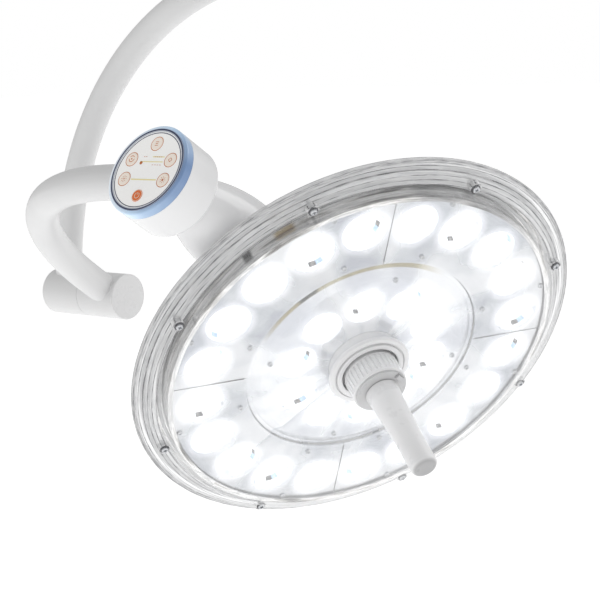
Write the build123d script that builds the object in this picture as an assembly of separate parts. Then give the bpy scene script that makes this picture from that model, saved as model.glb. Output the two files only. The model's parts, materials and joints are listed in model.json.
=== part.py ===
from build123d import *
import os
from math import atan, cos, degrees, pi, radians, sin, sqrt, tan

# Dental operating light: a round LED lamp head hung in three crossing axes.
# Millimetres. The origin is the shoulder of the mounting spigot, +Z is up the spigot,
# and +X runs from the arm hinge towards the lamp head. All three axes cross at the gimbal point.

# ---- pose in which the light is stored -------------------------------------
yoke_angle = 57.65          # tilt of the yoke about the arm hinge, 0 = control pod straight up
head_angle = 48.25          # turn of the lamp head about the pod axis

# ---- pivots (the swivel and the hinge are the same knuckle) ----------------
knuckle_radius = 24.9
knuckle_length = 56.0       # one half of a knuckle
knuckle_wall = 4.0
knuckle_gap = 0.4           # between the two halves
cap_thickness = 2.0
spindle_radius = 10.0
spindle_bore = 6.0
running_fit = 0.05          # radial clearance of every turning or sliding fit
bush_radius = 14.0
flange_radius = 18.0
cope_radius = 17.0          # how near a tube's end comes to the spindle
fixed_tube_at = 37.0        # tube axis in the half with the spindle
turning_tube_at = 33.0      # tube axis in the half with the bushes

# ---- mounting spigot -------------------------------------------------------
spigot_radius = 12.5
spigot_length = 45.0
spigot_foot_radius = 13.5
spigot_bore = 8.0
spigot_seat = 12.0          # depth of the spigot's foot in the housing

# ---- arm and yoke tubes ----------------------------------------------------
arm_tube_radius = 15.0
arm_bend = 325.0
arm_rise = 14.0
yoke_tube_radius = 16.3
yoke_bend = 269.0
yoke_rise = 6.4
tube_wall = 2.5
cable_radius = 3.5
hinge_x = -350.0            # split plane of the arm hinge
gimbal_drop = knuckle_length + turning_tube_at + arm_bend + arm_rise

# ---- control pod (heights along the pod axis, from the gimbal point) --------
pod_radius = 43.0
pod_wall = 3.0
pod_rear = 249.0
pod_floor = 253.0
pod_front = 292.6
ring_front = 301.5
pod_face = 302.0
panel_radius = 37.0
bezel_radius = 39.6
key_radius = 5.75
key_pitch_radius = 25.0
key_angles = [90, 22.5, -22.5, 202.5, 157.5]
power_key_angle = -90
shaft_radius = 12.0
shaft_bore = 7.0
shaft_inner_end = 150.0
shaft_outer_end = 277.0
bearing_radius = 20.0
bearing_top = 267.0
board_height = 285.0

# ---- lamp head (heights along the beam axis, from the gimbal point) ---------
head_radius = 225.0
rim_top = 45.6
housing_radius = 217.0
housing_top = 42.0
housing_back = -36.0
housing_wall = 3.0
housing_bore = 199.0
rail_low = -14.0
driver_low = -20.0
back_flat_radius = 64.0
service_screw_seat = -39.8
neck_radius = 25.5
neck_end = pod_rear - 0.5
cover_seat = 43.5
window_centre = 74.0
boss_circle = 207.0
boss_count = 8
boss_radius = 6.0
outer_cup_circle = 162.0
outer_cup_count = 20
outer_cup_mouth = 22.5
outer_plane = 60.0
inner_cup_circle = 71.0
inner_cup_count = 10
inner_cup_mouth = 20.0
inner_plane = 62.0
cup_depth = 26.0
cup_throat = 7.5
sheet = 1.4
segment_count = 4
segment_inner = 118.0
segment_outer = 192.5
sink_top = 32.0
board_top = 33.6

# ---- focus drive and handle ------------------------------------------------
hub_radius = 26.0
hub_bore = 22.0
sleeve_radius = 18.0
sleeve_bore = 14.0
pin_radius = 2.0
pin_height = 26.0
focus_turn = 90.0
focus_travel = 4.0
knob_radius = 27.0
knob_low = 72.5
knob_face = 106.5
knob_ribs = 36
handle_base_radius = 16.4
handle_waist_radius = 14.2
handle_tip_radius = 13.0
handle_tip_height = 207.0
handle_tip_corner = 5.0
button_travel = 2.0

BASE = (Align.CENTER, Align.CENTER, Align.MIN)


# ---- shapes used throughout -------------------------------------------------
def disc(radius, low, high):
    """Solid cylinder on the Z axis between two heights."""
    return Pos(0, 0, low) * Cylinder(radius, high - low, align=BASE)


def ring(outer, inner, low, high):
    """Plain ring on the Z axis between two heights."""
    return disc(outer, low, high) - disc(inner, low - 1, high + 1)


def turned(points, corners=0.0):
    """Solid of revolution about Z from (radius, height) points, with rounded corners."""
    outline = [(radius, 0, height) for radius, height in points]
    return revolve(make_face(FilletPolyline(*outline, radius=corners, close=True)), Axis.Z)


def block(width, depth, low, high, x=0, y=0):
    """Box with its centre line at x, y between two heights."""
    return Pos(x, y, low) * Box(width, depth, high - low, align=BASE)


def around(count, radius, shape, start=0.0):
    """Copies of a shape on a circle about Z, each turned to face outwards."""
    return [place * shape for place in PolarLocations(radius, count, start)]


def tube_along(path, radius, bore=0.0):
    """Round tube or rod along a path."""
    start = Plane(origin=path @ 0, z_dir=path % 0)
    rod = sweep(start * Circle(radius), path=path)
    if not bore:
        return rod
    return rod - sweep(start * Circle(bore), path=path)


def hexagon_nut(across, bore, low, high):
    """Hexagon nut on the Z axis."""
    body = extrude(Plane.XY.offset(low) * RegularPolygon(across / 2, 6, major_radius=False), high - low)
    return body - disc(bore, low - 1, high + 1)


def screw(head_radius_mm, head_height, shank_radius, shank_length):
    """Pan-head screw standing on Z = 0 with its shank below and a cross recess on top."""
    body = disc(shank_radius, -shank_length, 0) + turned(
        [(0, 0), (head_radius_mm, 0), (head_radius_mm, head_height), (0, head_height)],
        [0, 0, head_height * 0.45, 0],
    )
    slot_depth = head_height * 0.55
    slot_width = head_radius_mm * 0.3
    for length, width in ((slot_width * 4, slot_width), (slot_width, slot_width * 4)):
        body -= block(length, width, head_height - slot_depth, head_height + 1)
    return body


def save(node, place, *shapes):
    """Write one node's solids, moved from their own frame to the object's frame."""
    solids = [solid for shape in shapes for solid in (place * shape).solids()]
    body = solids[0] if len(solids) == 1 else Compound(solids)
    body.label = node
    export_step(body, os.path.join("parts", node + ".step"))


# ---- frames of the moving groups --------------------------------------------
gimbal = Vector(0, 0, -gimbal_drop)
tilt = radians(yoke_angle)
turn = radians(head_angle)
pod_axis = Vector(0, -sin(tilt), cos(tilt))

object_frame = Pos(0, 0, 0)
arm_frame = Plane(origin=gimbal, x_dir=(1, 0, 0), z_dir=(0, 0, 1)).location
yoke_frame = Plane(origin=gimbal, x_dir=(1, 0, 0), z_dir=pod_axis).location
head_turn = Plane(origin=(0, 0, 0), x_dir=(cos(turn), sin(turn), 0), z_dir=(sin(turn), -cos(turn), 0))
head_frame_place = yoke_frame * head_turn.location

# A knuckle's own frame: Z along the pivot towards the fixed half, Y towards the tubes.
swivel_place = Plane(origin=(0, 0, -knuckle_length), x_dir=(0, 1, 0), z_dir=(0, 0, 1)).location
hinge_centre = gimbal + Vector(hinge_x, 0, 0)
hinge_fixed = Plane(origin=hinge_centre, x_dir=(0, -1, 0), z_dir=(-1, 0, 0)).location
hinge_turning = Plane(origin=hinge_centre, x_dir=(0, -cos(tilt), -sin(tilt)), z_dir=(-1, 0, 0)).location


# ---- knuckle -----------------------------------------------------------------
shell_end = knuckle_length - cap_thickness
shell_bore = knuckle_radius - knuckle_wall
web = 11.8
far_web = (-47.5, -40.0)
spindle_end = -53.4


def side_hole(radius, height):
    """Cylinder that leaves a knuckle sideways, for the tube that is fixed in it."""
    hole = Cylinder(radius, 2 * knuckle_radius, align=BASE)
    return Pos(0, 0, height) * Rot(-90, 0, 0) * hole


def fixed_half_shell():
    """Shell of the half that holds the spindle, open at its outer end."""
    shell = ring(knuckle_radius, shell_bore, knuckle_gap / 2, shell_end)
    return shell + ring(shell_bore + 0.5, spindle_radius, knuckle_gap / 2, 6)


def turning_half_shell():
    """Shell of the half that turns on two bushes, open at its outer end."""
    shell = ring(knuckle_radius, shell_bore, -shell_end, -knuckle_gap / 2)
    shell += ring(shell_bore + 0.5, bush_radius, -web, -knuckle_gap / 2)
    return shell + ring(shell_bore + 0.5, bush_radius, far_web[0], far_web[1])


def end_cap():
    """Flat cap with a rounded edge and a plug, closing a shell that ends at shell_end."""
    cap = turned(
        [(0, shell_end), (knuckle_radius, shell_end), (knuckle_radius, knuckle_length), (0, knuckle_length)],
        [0, 0, 1.2, 0],
    )
    return cap + ring(shell_bore, shell_bore - 2, shell_end - 2, shell_end)


def spindle():
    """Hollow flanged spindle, held in the fixed half."""
    body = ring(spindle_radius, spindle_bore, spindle_end, 12)
    return body + ring(flange_radius, spindle_bore, 6, 9)


def bushes():
    """The two flanged bushes of a turning half."""
    bore = spindle_radius + running_fit
    near = ring(bush_radius, bore, -web, -knuckle_gap / 2) + ring(16, bore, -web - 1.5, -web)
    far = ring(bush_radius, bore, *far_web) + ring(16, bore, far_web[1], far_web[1] + 1.5)
    return near, far


def spindle_nut():
    """Self-locking nut on the spindle's end."""
    return hexagon_nut(27, spindle_radius, spindle_end, far_web[0] - knuckle_gap)


# ---- swivel: fixed half (root) and turning half (arm) -------------------------
swivel_top = turned(
    [
        (spigot_foot_radius, knuckle_length - spigot_seat),
        (shell_bore + 0.5, knuckle_length - spigot_seat),
        (shell_bore + 0.5, shell_end - 2),
        (knuckle_radius, shell_end - 2),
        (knuckle_radius, knuckle_length),
        (spigot_foot_radius, knuckle_length),
    ],
    [0, 0, 0, 0, 2.0, 0],
)
swivel_upper = ring(knuckle_radius, shell_bore, knuckle_gap / 2, shell_end - 2)
swivel_upper += ring(shell_bore + 0.5, spindle_radius, knuckle_gap / 2, 6)
save("swivel_upper_housing", swivel_place, swivel_upper + swivel_top)

spigot = turned(
    [
        (spigot_bore, -spigot_seat),
        (spigot_foot_radius, -spigot_seat),
        (spigot_foot_radius, 0),
        (spigot_radius, 0),
        (spigot_radius, spigot_length),
        (spigot_bore, spigot_length),
    ],
    [0, 0, 0, 0, 1.5, 0],
)
save("mount_spigot", object_frame, spigot)
save("swivel_spindle", swivel_place, spindle())
save("swivel_nut", swivel_place, spindle_nut())

upper_tube_hole = side_hole(arm_tube_radius, -turning_tube_at)
save("swivel_lower_housing", swivel_place, turning_half_shell() - upper_tube_hole)
save("swivel_lower_cap", swivel_place * Rot(180, 0, 0), end_cap())
save("swivel_bushes", swivel_place, *bushes())


# ---- arm: bent tube from the swivel down to the hinge -------------------------
arm_x = hinge_x - fixed_tube_at


def arm_path(start, finish):
    """Centre line of the arm from a height above the hinge to a distance from the swivel axis."""
    corner = arm_x + arm_bend * (1 - cos(pi / 4))
    top = arm_rise + arm_bend
    rise = Line((arm_x, 0, start), (arm_x, 0, arm_rise + 0.5))
    bend = ThreePointArc(
        (arm_x, 0, arm_rise + 0.5),
        (corner, 0, arm_rise + 0.5 + (arm_bend - 0.5) * sin(pi / 4)),
        (arm_x + arm_bend, 0, top),
    )
    run = Line((arm_x + arm_bend, 0, top), (-finish, 0, top))
    return Wire([rise, bend, run])


arm_line = arm_path(4, 8)
arm_tube = arm_frame * tube_along(arm_line, arm_tube_radius, arm_tube_radius - tube_wall)
arm_tube -= swivel_place * disc(cope_radius, -knuckle_length, 0)
save("arm_tube", object_frame, arm_tube)
save("arm_cable", arm_frame, tube_along(arm_path(12, 22), cable_radius))

arm_envelope = hinge_fixed.inverse() * arm_frame * tube_along(arm_line, arm_tube_radius)
save("hinge_outer_housing", hinge_fixed, fixed_half_shell() - arm_envelope)
save("hinge_outer_cap", hinge_fixed, end_cap())
save("hinge_spindle", hinge_fixed, spindle())
save("hinge_nut", hinge_fixed, spindle_nut())


# ---- yoke: hinge half, bent tube and control pod ------------------------------
yoke_x = hinge_x + turning_tube_at
pod_tube_height = yoke_rise + yoke_bend


def yoke_path(finish):
    """Centre line of the yoke tube in the yoke frame, from the hinge to the pod's side."""
    rise = Line((yoke_x, 0, 2), (yoke_x, 0, yoke_rise))
    bend = ThreePointArc(
        (yoke_x, 0, yoke_rise),
        (yoke_x + yoke_bend * (1 - cos(pi / 4)), 0, yoke_rise + yoke_bend * sin(pi / 4)),
        (yoke_x + yoke_bend, 0, pod_tube_height),
    )
    run = Line((yoke_x + yoke_bend, 0, pod_tube_height), (-finish, 0, pod_tube_height))
    return Wire([rise, bend, run])


yoke_line = yoke_path(36)
yoke_cope = hinge_turning * disc(cope_radius, -knuckle_length, 0)
yoke_tube = yoke_frame * tube_along(yoke_line, yoke_tube_radius, yoke_tube_radius - tube_wall)
yoke_envelope = hinge_turning.inverse() * yoke_frame * tube_along(yoke_line, yoke_tube_radius)
save("yoke_tube", object_frame, yoke_tube - yoke_cope)
save("yoke_cable", object_frame, yoke_frame * tube_along(yoke_path(30), cable_radius) - yoke_cope)
save("hinge_inner_housing", hinge_turning, turning_half_shell() - yoke_envelope)
save("hinge_inner_cap", hinge_turning * Rot(180, 0, 0), end_cap())
save("hinge_bushes", hinge_turning, *bushes())

pod_shell = turned(
    [
        (bearing_radius, pod_rear),
        (neck_radius + 3, pod_rear),
        (pod_radius, pod_rear + 7),
        (pod_radius, pod_front),
        (pod_radius - pod_wall, pod_front),
        (pod_radius - pod_wall, pod_floor + 5),
        (bearing_radius + 5, pod_floor),
        (bearing_radius + 5, bearing_top),
        (bearing_radius, bearing_top),
    ],
    [0, 2, 6, 0, 0, 3, 0, 0, 0],
)
pod_posts = around(3, 33, disc(3, pod_floor + 0.5, board_height))
pod_hole = Rot(0, 90, 0) * Cylinder(yoke_tube_radius, 14, align=BASE)
pod_hole = Pos(-pod_radius - 5, 0, pod_tube_height) * pod_hole
pod_body = pod_shell
for post in pod_posts:
    pod_body += post
save("pod_body", yoke_frame, pod_body - pod_hole)

blue_ring = turned(
    [
        (bezel_radius, pod_front),
        (pod_radius, pod_front),
        (pod_radius, ring_front),
        (bezel_radius, ring_front),
    ],
    [0, 0.3, 1.8, 0.3],
)
save("pod_ring", yoke_frame, blue_ring + ring(bezel_radius + 0.5, panel_radius - 2, pod_front, pod_front + 2))
save("panel_bezel", yoke_frame, ring(bezel_radius, panel_radius, pod_front + 2, pod_face))

panel_top = pod_face - 0.7
panel_back = panel_top - 2
panel = disc(panel_radius, panel_back, panel_top)
panel += ring(panel_radius, panel_radius - 2, pod_front + 2, panel_back)
save("touch_panel", yoke_frame, panel)
key = turned(
    [(0, panel_top), (key_radius, panel_top), (key_radius, panel_top + 0.4), (0, panel_top + 0.4)],
    [0, 0, 0.2, 0],
)
key_places = [
    Pos(key_pitch_radius * cos(radians(angle)), key_pitch_radius * sin(radians(angle)), 0)
    for angle in key_angles + [power_key_angle]
]
save("touch_keys", yoke_frame, *[place * key for place in key_places[:-1]])
save("power_key", yoke_frame, key_places[-1] * key)

board = disc(36, board_height, board_height + 1.6)
chips = [
    block(12, 12, board_height + 1.6, board_height + 3.4),
    block(5, 8, board_height + 1.6, board_height + 3, 12, -3),
    block(6, 4, board_height + 1.6, board_height + 4, -13, 3),
    block(14, 5, board_height - 6, board_height, 0, -12),
]
ring_lights = around(12, 33.5, block(3, 3, board_height + 1.6, board_height + 2.8), 15)
save("control_board", yoke_frame, board, *chips, *ring_lights)
spring_turn = ring(2.6, 2.0, board_height + 1.6, panel_back)
save("touch_springs", yoke_frame, *[place * spring_turn for place in key_places])
save("pod_bearing", yoke_frame, ring(bearing_radius, shaft_radius + running_fit, pod_rear, bearing_top))

# ---- lamp head: shaft, chassis and rear housing ---------------------------------
shaft_turn = Rot(-90, 0, 0)     # turns a shape on Z onto the pod axis of the head frame
shaft = ring(shaft_radius, shaft_bore, shaft_inner_end, shaft_outer_end)
save("neck_shaft", head_frame_place * shaft_turn, shaft)
neck_nut = hexagon_nut(33, shaft_radius, bearing_top + knuckle_gap, bearing_top + 7)
save("neck_nut", head_frame_place * shaft_turn, neck_nut)

frame_ring = ring(36, hub_radius, -22, 6)
rails = block(8, 140, rail_low, 6, 16, 100) + block(8, 140, rail_low, 6, -16, 100)
collar = shaft_turn * ring(24, shaft_radius, shaft_inner_end, 196)
chassis = (frame_ring + rails - disc(hub_radius, -40, 20)) - shaft_turn * disc(shaft_radius, 140, 210)
save("head_frame", head_frame_place, chassis + collar)


def bowl(arc, *profile):
    """Solid bowl of revolution: flat back, an arc through three points, then straight lines."""
    back = arc[0][1]
    lip = profile[-1][1]
    points = (arc[-1],) + profile + ((0, lip), (0, back), arc[0])
    corners = [(radius, 0, height) for radius, height in points]
    outline = [ThreePointArc(*[(radius, 0, height) for radius, height in arc]), Polyline(*corners)]
    return revolve(make_face(outline), Axis.Z)


def nose(wall):
    """Solid ridge of the neck, swept round the pod axis and cut off level with the rim."""
    radius = neck_radius - wall
    end = neck_end + (1 if wall else 0)
    start, widest, narrow = 70, 160, 240
    profile = [
        Line((0, 0, start), (radius + 8, 0, start)),
        Line((radius + 8, 0, start), (radius + 14, 0, widest)),
        ThreePointArc((radius + 14, 0, widest), (radius + 11.5, 0, 200), (radius, 0, narrow)),
        Line((radius, 0, narrow), (radius, 0, end)),
        Line((radius, 0, end), (0, 0, end)),
        Line((0, 0, end), (0, 0, start)),
    ]
    solid = shaft_turn * revolve(make_face(profile), Axis.Z)
    return solid - block(600, 600, 38 - wall, 120)


outer_arc = [(back_flat_radius, housing_back), (110, -28.6), (152, -16)]
inner_arc = [(back_flat_radius - 1, housing_back + housing_wall), (109, -25.8), (150.1, -13.7)]
outer_flare = [(211, 33), (housing_radius, 38), (housing_radius, housing_top)]
inner_flare = [(housing_bore, 26.9), (housing_bore, housing_top + 5)]
outside = bowl(outer_arc, *outer_flare) + nose(0)
inside = bowl(inner_arc, *inner_flare) + nose(housing_wall)
posts = around(6, 150, disc(4, -40, sink_top - 4), 7.5)
posts += [Pos(x, y, 0) * disc(3, -40, driver_low) for x in (-40, 40) for y in (-64, -100)]
posts += [Pos(x, y, 0) * disc(3.5, -40, rail_low) for x in (-16, 16) for y in (86, 140)]
rear_housing = outside - inside
for post in posts:
    rear_housing += post & outside
cover_screw_hole = disc(1.6, 30, 60)
service_screw_hole = disc(1.5, -50, -20)
for hole in around(boss_count, boss_circle, cover_screw_hole, 22.5) + around(3, 57, service_screw_hole, 30):
    rear_housing -= hole
rear_housing -= disc(50, -50, -20)
save("rear_housing", head_frame_place, rear_housing)

service_cover = turned(
    [(0, -43), (50, -41.5), (62, -39), (62, -36), (0, -36)],
    [0, 20, 2, 0, 0],
)
for hole in around(3, 57, service_screw_hole + disc(3.2, -50, service_screw_seat), 30):
    service_cover -= hole
save("service_cover", head_frame_place, service_cover)

gasket = ring(215.5, 211, housing_top, cover_seat)
save("cover_gasket", head_frame_place, gasket)

# Clear cover: flange, steep side and shallow domed window with a hole for the hub.
cover_wall = 3.0
cover_hole = 36.0
window = [
    Line((221, 0, cover_seat), (221, 0, 41.5)),
    Line((221, 0, 41.5), (head_radius - 1, 0, 41.5)),
    ThreePointArc((head_radius - 1, 0, 41.5), (head_radius, 0, 43.5), (head_radius - 1, 0, rim_top)),
    Line((head_radius - 1, 0, rim_top), (221.2, 0, 46.4)),
    Line((221.2, 0, 46.4), (220.8, 0, 47.6)),
    Line((220.8, 0, 47.6), (216.4, 0, 49.2)),
    Line((216.4, 0, 49.2), (216.0, 0, 50.4)),
    Line((216.0, 0, 50.4), (204, 0, 56)),
    ThreePointArc((204, 0, 56), (201.5, 0, 58.5), (200.6, 0, 62)),
    Line((200.6, 0, 62), (200, 0, 64.5)),
    ThreePointArc((200, 0, 64.5), (199, 0, 66.6), (196.5, 0, 67.4)),
    ThreePointArc((196.5, 0, 67.4), (120, 0, 72.2), (41, 0, window_centre)),
    Line((41, 0, window_centre), (cover_hole, 0, window_centre)),
    Line((cover_hole, 0, window_centre), (cover_hole, 0, window_centre - cover_wall)),
    Line((cover_hole, 0, window_centre - cover_wall), (41, 0, window_centre - cover_wall)),
    ThreePointArc((41, 0, window_centre - cover_wall), (120, 0, 69.2), (195, 0, 64.7)),
    Line((195, 0, 64.7), (197.4, 0, 62)),
    Line((197.4, 0, 62), (200.5, 0, 54.5)),
    Line((200.5, 0, 54.5), (208, 0, 50)),
    Line((208, 0, 50), (208, 0, cover_seat)),
    Line((208, 0, cover_seat), (221, 0, cover_seat)),
]
front_cover = revolve(make_face(window), Axis.Z)
boss = disc(boss_radius, cover_seat, 58)
for place in PolarLocations(boss_circle, boss_count, 22.5):
    front_cover += place * boss
for hole in around(boss_count, boss_circle, cover_screw_hole, 22.5):
    front_cover -= hole
save("front_cover", head_frame_place, front_cover)

cover_screw = Pos(0, 0, 58) * screw(3.4, 2.6, 1.6, 24)
save("cover_screws", head_frame_place, *around(boss_count, boss_circle, cover_screw, 22.5))

chrome = ring(196, 194, 40, 63) + ring(195, 191.2, 61.8, 63) + ring(198.8, 194, 40, 43.2)
chrome += ring(203, 198, housing_top, 43.2)
save("chrome_ring", head_frame_place, chrome)


# ---- lamp head: light engine ------------------------------------------------------
def cup(mouth, throat, top, depth, wall=0.0):
    """Solid filling of a reflector cup: a paraboloid from the throat out to the mouth."""
    middle = sqrt(throat ** 2 + (mouth ** 2 - throat ** 2) * 0.4)
    outline = [
        Line((0, 0, top - depth), (throat + wall, 0, top - depth)),
        ThreePointArc(
            (throat + wall, 0, top - depth),
            (middle + wall * 0.8, 0, top - depth * 0.6),
            (mouth + wall * 0.6, 0, top),
        ),
        Line((mouth + wall * 0.6, 0, top), (0, 0, top)),
        Line((0, 0, top), (0, 0, top - depth)),
    ]
    return revolve(make_face(outline), Axis.Z)


def with_cups(plate, places, mouth, top):
    """Plate with reflector cups pressed into it."""
    for place in places:
        plate += place * cup(mouth, cup_throat, top, cup_depth, sheet)
    for place in places:
        plate -= place * cup(mouth, cup_throat, top + 0.01, cup_depth + 0.02)
    return plate


reflector_screw_hole = disc(1.3, 25, 70)
reflector_screw = screw(2.6, 1.8, 1.3, 20)
leg = disc(3.5, sink_top, outer_plane - 0.5)
step_angle = 360 / outer_cup_count
half_gap = 45 - degrees(atan(0.5 / outer_cup_circle))
sector_length = 300
sector_half = sector_length * tan(radians(half_gap))
sector_outline = Polyline((0, 0), (sector_length, -sector_half), (sector_length, sector_half), close=True)
sector = extrude(make_face(sector_outline), 100)
segment_plate = ring(segment_outer, segment_inner, outer_plane - sheet, outer_plane) & sector
cup_places = [Rot(0, 0, step_angle * i) * Pos(outer_cup_circle, 0, 0) for i in range(-2, 3)]
segment_legs = [
    Rot(0, 0, side * 1.5 * step_angle) * Pos(radius, 0, 0)
    for side in (-1, 1)
    for radius in (126, 188)
]
segment = with_cups(segment_plate, cup_places, outer_cup_mouth, outer_plane)
for place in segment_legs:
    segment += place * leg
    segment -= place * reflector_screw_hole
for number in range(segment_count):
    save(f"reflector_segment_{number + 1}", head_frame_place * Rot(0, 0, 90 * number), segment)

dome = turned(
    [
        (36.4, inner_plane),
        (104, inner_plane),
        (113.5, inner_plane - 5),
        (117, inner_plane - 5),
        (117, inner_plane - 5 - sheet),
        (113, inner_plane - 5 - sheet),
        (103.5, inner_plane - sheet),
        (36.4, inner_plane - sheet),
    ],
    [0, 4, 1, 0, 0, 1, 4, 0],
)
inner_places = list(PolarLocations(inner_cup_circle, inner_cup_count, 18))
inner_reflector = with_cups(dome, inner_places, inner_cup_mouth, inner_plane)
inner_leg = disc(3.2, sink_top, inner_plane - 0.5)
inner_leg_places = list(PolarLocations(99, 4, 36))
for place in inner_leg_places:
    inner_reflector += place * inner_leg
    inner_reflector -= place * reflector_screw_hole
save("inner_reflector", head_frame_place, inner_reflector)

sink = ring(192, 95.2, sink_top - 4, sink_top)
fin = Pos(105, 0, 0) * Box(67, 2, 16, align=(Align.MIN, Align.CENTER, Align.MIN))
for number in range(24):
    fin_angle = 15 * number
    if abs(fin_angle - 90) > 20:
        sink += Rot(0, 0, fin_angle) * Pos(0, 0, sink_top - 20) * fin
screw_places = [Rot(0, 0, 90 * n) * place for n in range(segment_count) for place in segment_legs]
for place in screw_places + inner_leg_places:
    sink -= place * reflector_screw_hole
save("heat_sink", head_frame_place, sink)

save("outer_led_board", head_frame_place, ring(184, 134, sink_top, board_top))
led = block(7, 7, board_top, board_top + 1.4)
led += Pos(0, 0, board_top + 1.4) * (Sphere(3.2) & block(8, 8, 0, 4))
save("outer_leds", head_frame_place, *around(outer_cup_count, outer_cup_circle, led))

reflector_screws = [place * Pos(0, 0, outer_plane) * reflector_screw for place in screw_places]
inner_screws = [place * Pos(0, 0, inner_plane) * reflector_screw for place in inner_leg_places]
service_screw = Rot(180, 0, 0) * Pos(0, 0, -service_screw_seat) * screw(3, 2, 1.5, 12)
save(
    "chassis_screws",
    head_frame_place,
    *reflector_screws,
    *inner_screws,
    *around(3, 57, service_screw, 30),
)

driver = block(94, 50, driver_low, driver_low + 1.6, 0, -82)
driver_parts = [
    block(16, 16, driver_low + 1.6, driver_low + 13, -30, -82),
    block(16, 16, driver_low + 1.6, driver_low + 13, -8, -82),
    block(12, 7, driver_low + 1.6, driver_low + 9, 34, -64),
    block(10, 10, driver_low + 1.6, driver_low + 4, 14, -90),
]
driver_parts += [Pos(x, -94, 0) * disc(5, driver_low + 1.6, driver_low + 15) for x in (28, 39)]
save("led_driver", head_frame_place, driver, *driver_parts)

cable_line = FilletPolyline(
    (0, 270, 0), (0, 62, 0), (0, 50, -27), (46, 30, -27), (48, -30, -27), (34, -50, -14), (34, -60.5, -14),
    radius=[5, 5, 12, 10, 4],
)
save("head_cable", head_frame_place, tube_along(cable_line, 2.5))


# ---- lamp head: hub ----------------------------------------------------------------
slot_half = pin_radius + 0.4
slot_low = pin_height - focus_travel - slot_half
pin_slot = block(20, 2 * slot_half, slot_low, pin_height + slot_half, hub_radius, 0)
hub = ring(hub_radius, hub_bore, -30, 70) - pin_slot
save("hub_tube", head_frame_place, hub)
bush_bore = sleeve_radius + running_fit
save("hub_bushes", head_frame_place, ring(hub_bore, bush_bore, -20, -6), ring(hub_bore, bush_bore, 50, 66))
flange_rim = 40.7
flange_step = 35.4
flange = turned(
    [
        (hub_radius, 62),
        (cover_hole - 0.3, 62),
        (cover_hole - 0.3, window_centre),
        (flange_rim, window_centre),
        (flange_rim, 78.6),
        (flange_step, 78.6),
        (flange_step, 76.4),
        (flange_step - 1.6, 76.4),
        (flange_step - 1.6, 80.0),
        (28.6, 80.0),
        (28.6, 70.5),
        (hub_radius, 70.5),
    ],
    [0, 0, 0, 0.5, 2.2, 0.5, 0, 0, 0.8, 1.2, 0, 0],
)
save("boss_flange", head_frame_place, flange)

# ---- focus drive: knob and cam sleeve, and the carriage that they raise and lower -----
sleeve = ring(sleeve_radius, sleeve_bore, -22, 90) + ring(hub_bore - 1, sleeve_bore, -22, -20.4)
cam_cut = Rot(0, 90, 0) * Cylinder(pin_radius + 0.7, 16, align=BASE)
cam_steps = 12
for number in range(cam_steps + 1):
    share = number / cam_steps
    height = pin_height - focus_travel * share
    sleeve -= Rot(0, 0, -focus_turn * share) * Pos(10, 0, height) * cam_cut
save("focus_sleeve", head_frame_place, sleeve)

knob = turned(
    [
        (sleeve_radius, knob_low),
        (knob_radius - 1, knob_low),
        (knob_radius - 1, 80.5),
        (knob_radius, 80.5),
        (knob_radius, 104),
        (sleeve_bore + 0.6, 104),
        (sleeve_bore + 0.6, 90),
        (sleeve_radius, 90),
    ],
    [0, 1, 0, 0.5, 1.5, 0, 0, 0],
)
rib_cut = disc(1.1, 83, 101)
for cut in around(knob_ribs, knob_radius + 0.25, rib_cut):
    knob -= cut
button_x = 21.6
button_size = (4.6, 9.0)
pocket = block(button_size[0] + 0.8, button_size[1] + 0.8, 95, 110, button_x)
save("focus_knob", head_frame_place, knob - pocket)
cap_outline = [(14.6, 104), (25.2, 104), (25.2, knob_face), (14.6, knob_face)]
save("knob_cap", head_frame_place, turned(cap_outline, [0, 0, 1, 0]) - pocket)

button_low = 95 + button_travel + 0.5
button = block(*button_size, button_low, knob_face + button_travel + 0.6, button_x)
button = fillet(button.faces().sort_by(Axis.Z)[-1].edges(), 0.6)
save("release_button", head_frame_place, button)

carriage = ring(34, hub_radius + running_fit, pin_height - 4, sink_top)
carriage += ring(94, 33, sink_top - 4, sink_top)
pin_hole = Pos(20, 0, pin_height) * Rot(0, 90, 0) * Cylinder(pin_radius, 20, align=BASE)
save("focus_carriage", head_frame_place, carriage - pin_hole)
follower = Pos(15, 0, pin_height) * Rot(0, 90, 0) * Cylinder(pin_radius, 18.5, align=BASE)
save("cam_follower", head_frame_place, follower)
save("inner_led_board", head_frame_place, ring(92, 50, sink_top, board_top))
save("inner_leds", head_frame_place, *around(inner_cup_count, inner_cup_circle, led, 18))

# ---- handle: metal insert in a removable grip -------------------------------------------
grip_low = knob_face + 0.4
grip_bore = 10.0
tip_start = handle_tip_height - handle_tip_corner
tip_flat = handle_tip_radius - handle_tip_corner
grip_outline = [
    Line((grip_bore, 0, grip_low), (handle_base_radius - 0.8, 0, grip_low)),
    Line((handle_base_radius - 0.8, 0, grip_low), (handle_base_radius, 0, grip_low + 0.8)),
    ThreePointArc(
        (handle_base_radius, 0, grip_low + 0.8),
        (handle_waist_radius, 0, grip_low + 34),
        (handle_tip_radius, 0, tip_start),
    ),
    ThreePointArc(
        (handle_tip_radius, 0, tip_start),
        (tip_flat + handle_tip_corner * cos(pi / 4), 0, tip_start + handle_tip_corner * sin(pi / 4)),
        (tip_flat, 0, handle_tip_height),
    ),
    Line((tip_flat, 0, handle_tip_height), (0, 0, handle_tip_height)),
    Line((0, 0, handle_tip_height), (0, 0, 190)),
    Line((0, 0, 190), (grip_bore, 0, 180)),
    Line((grip_bore, 0, 180), (grip_bore, 0, grip_low)),
]
save("handle_grip", head_frame_place, revolve(make_face(grip_outline), Axis.Z))
insert_radius = sleeve_bore - running_fit
insert = ring(insert_radius, 8, 62, grip_low) + ring(grip_bore, 8, grip_low, 150)
save("handle_insert", head_frame_place, insert)
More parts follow.
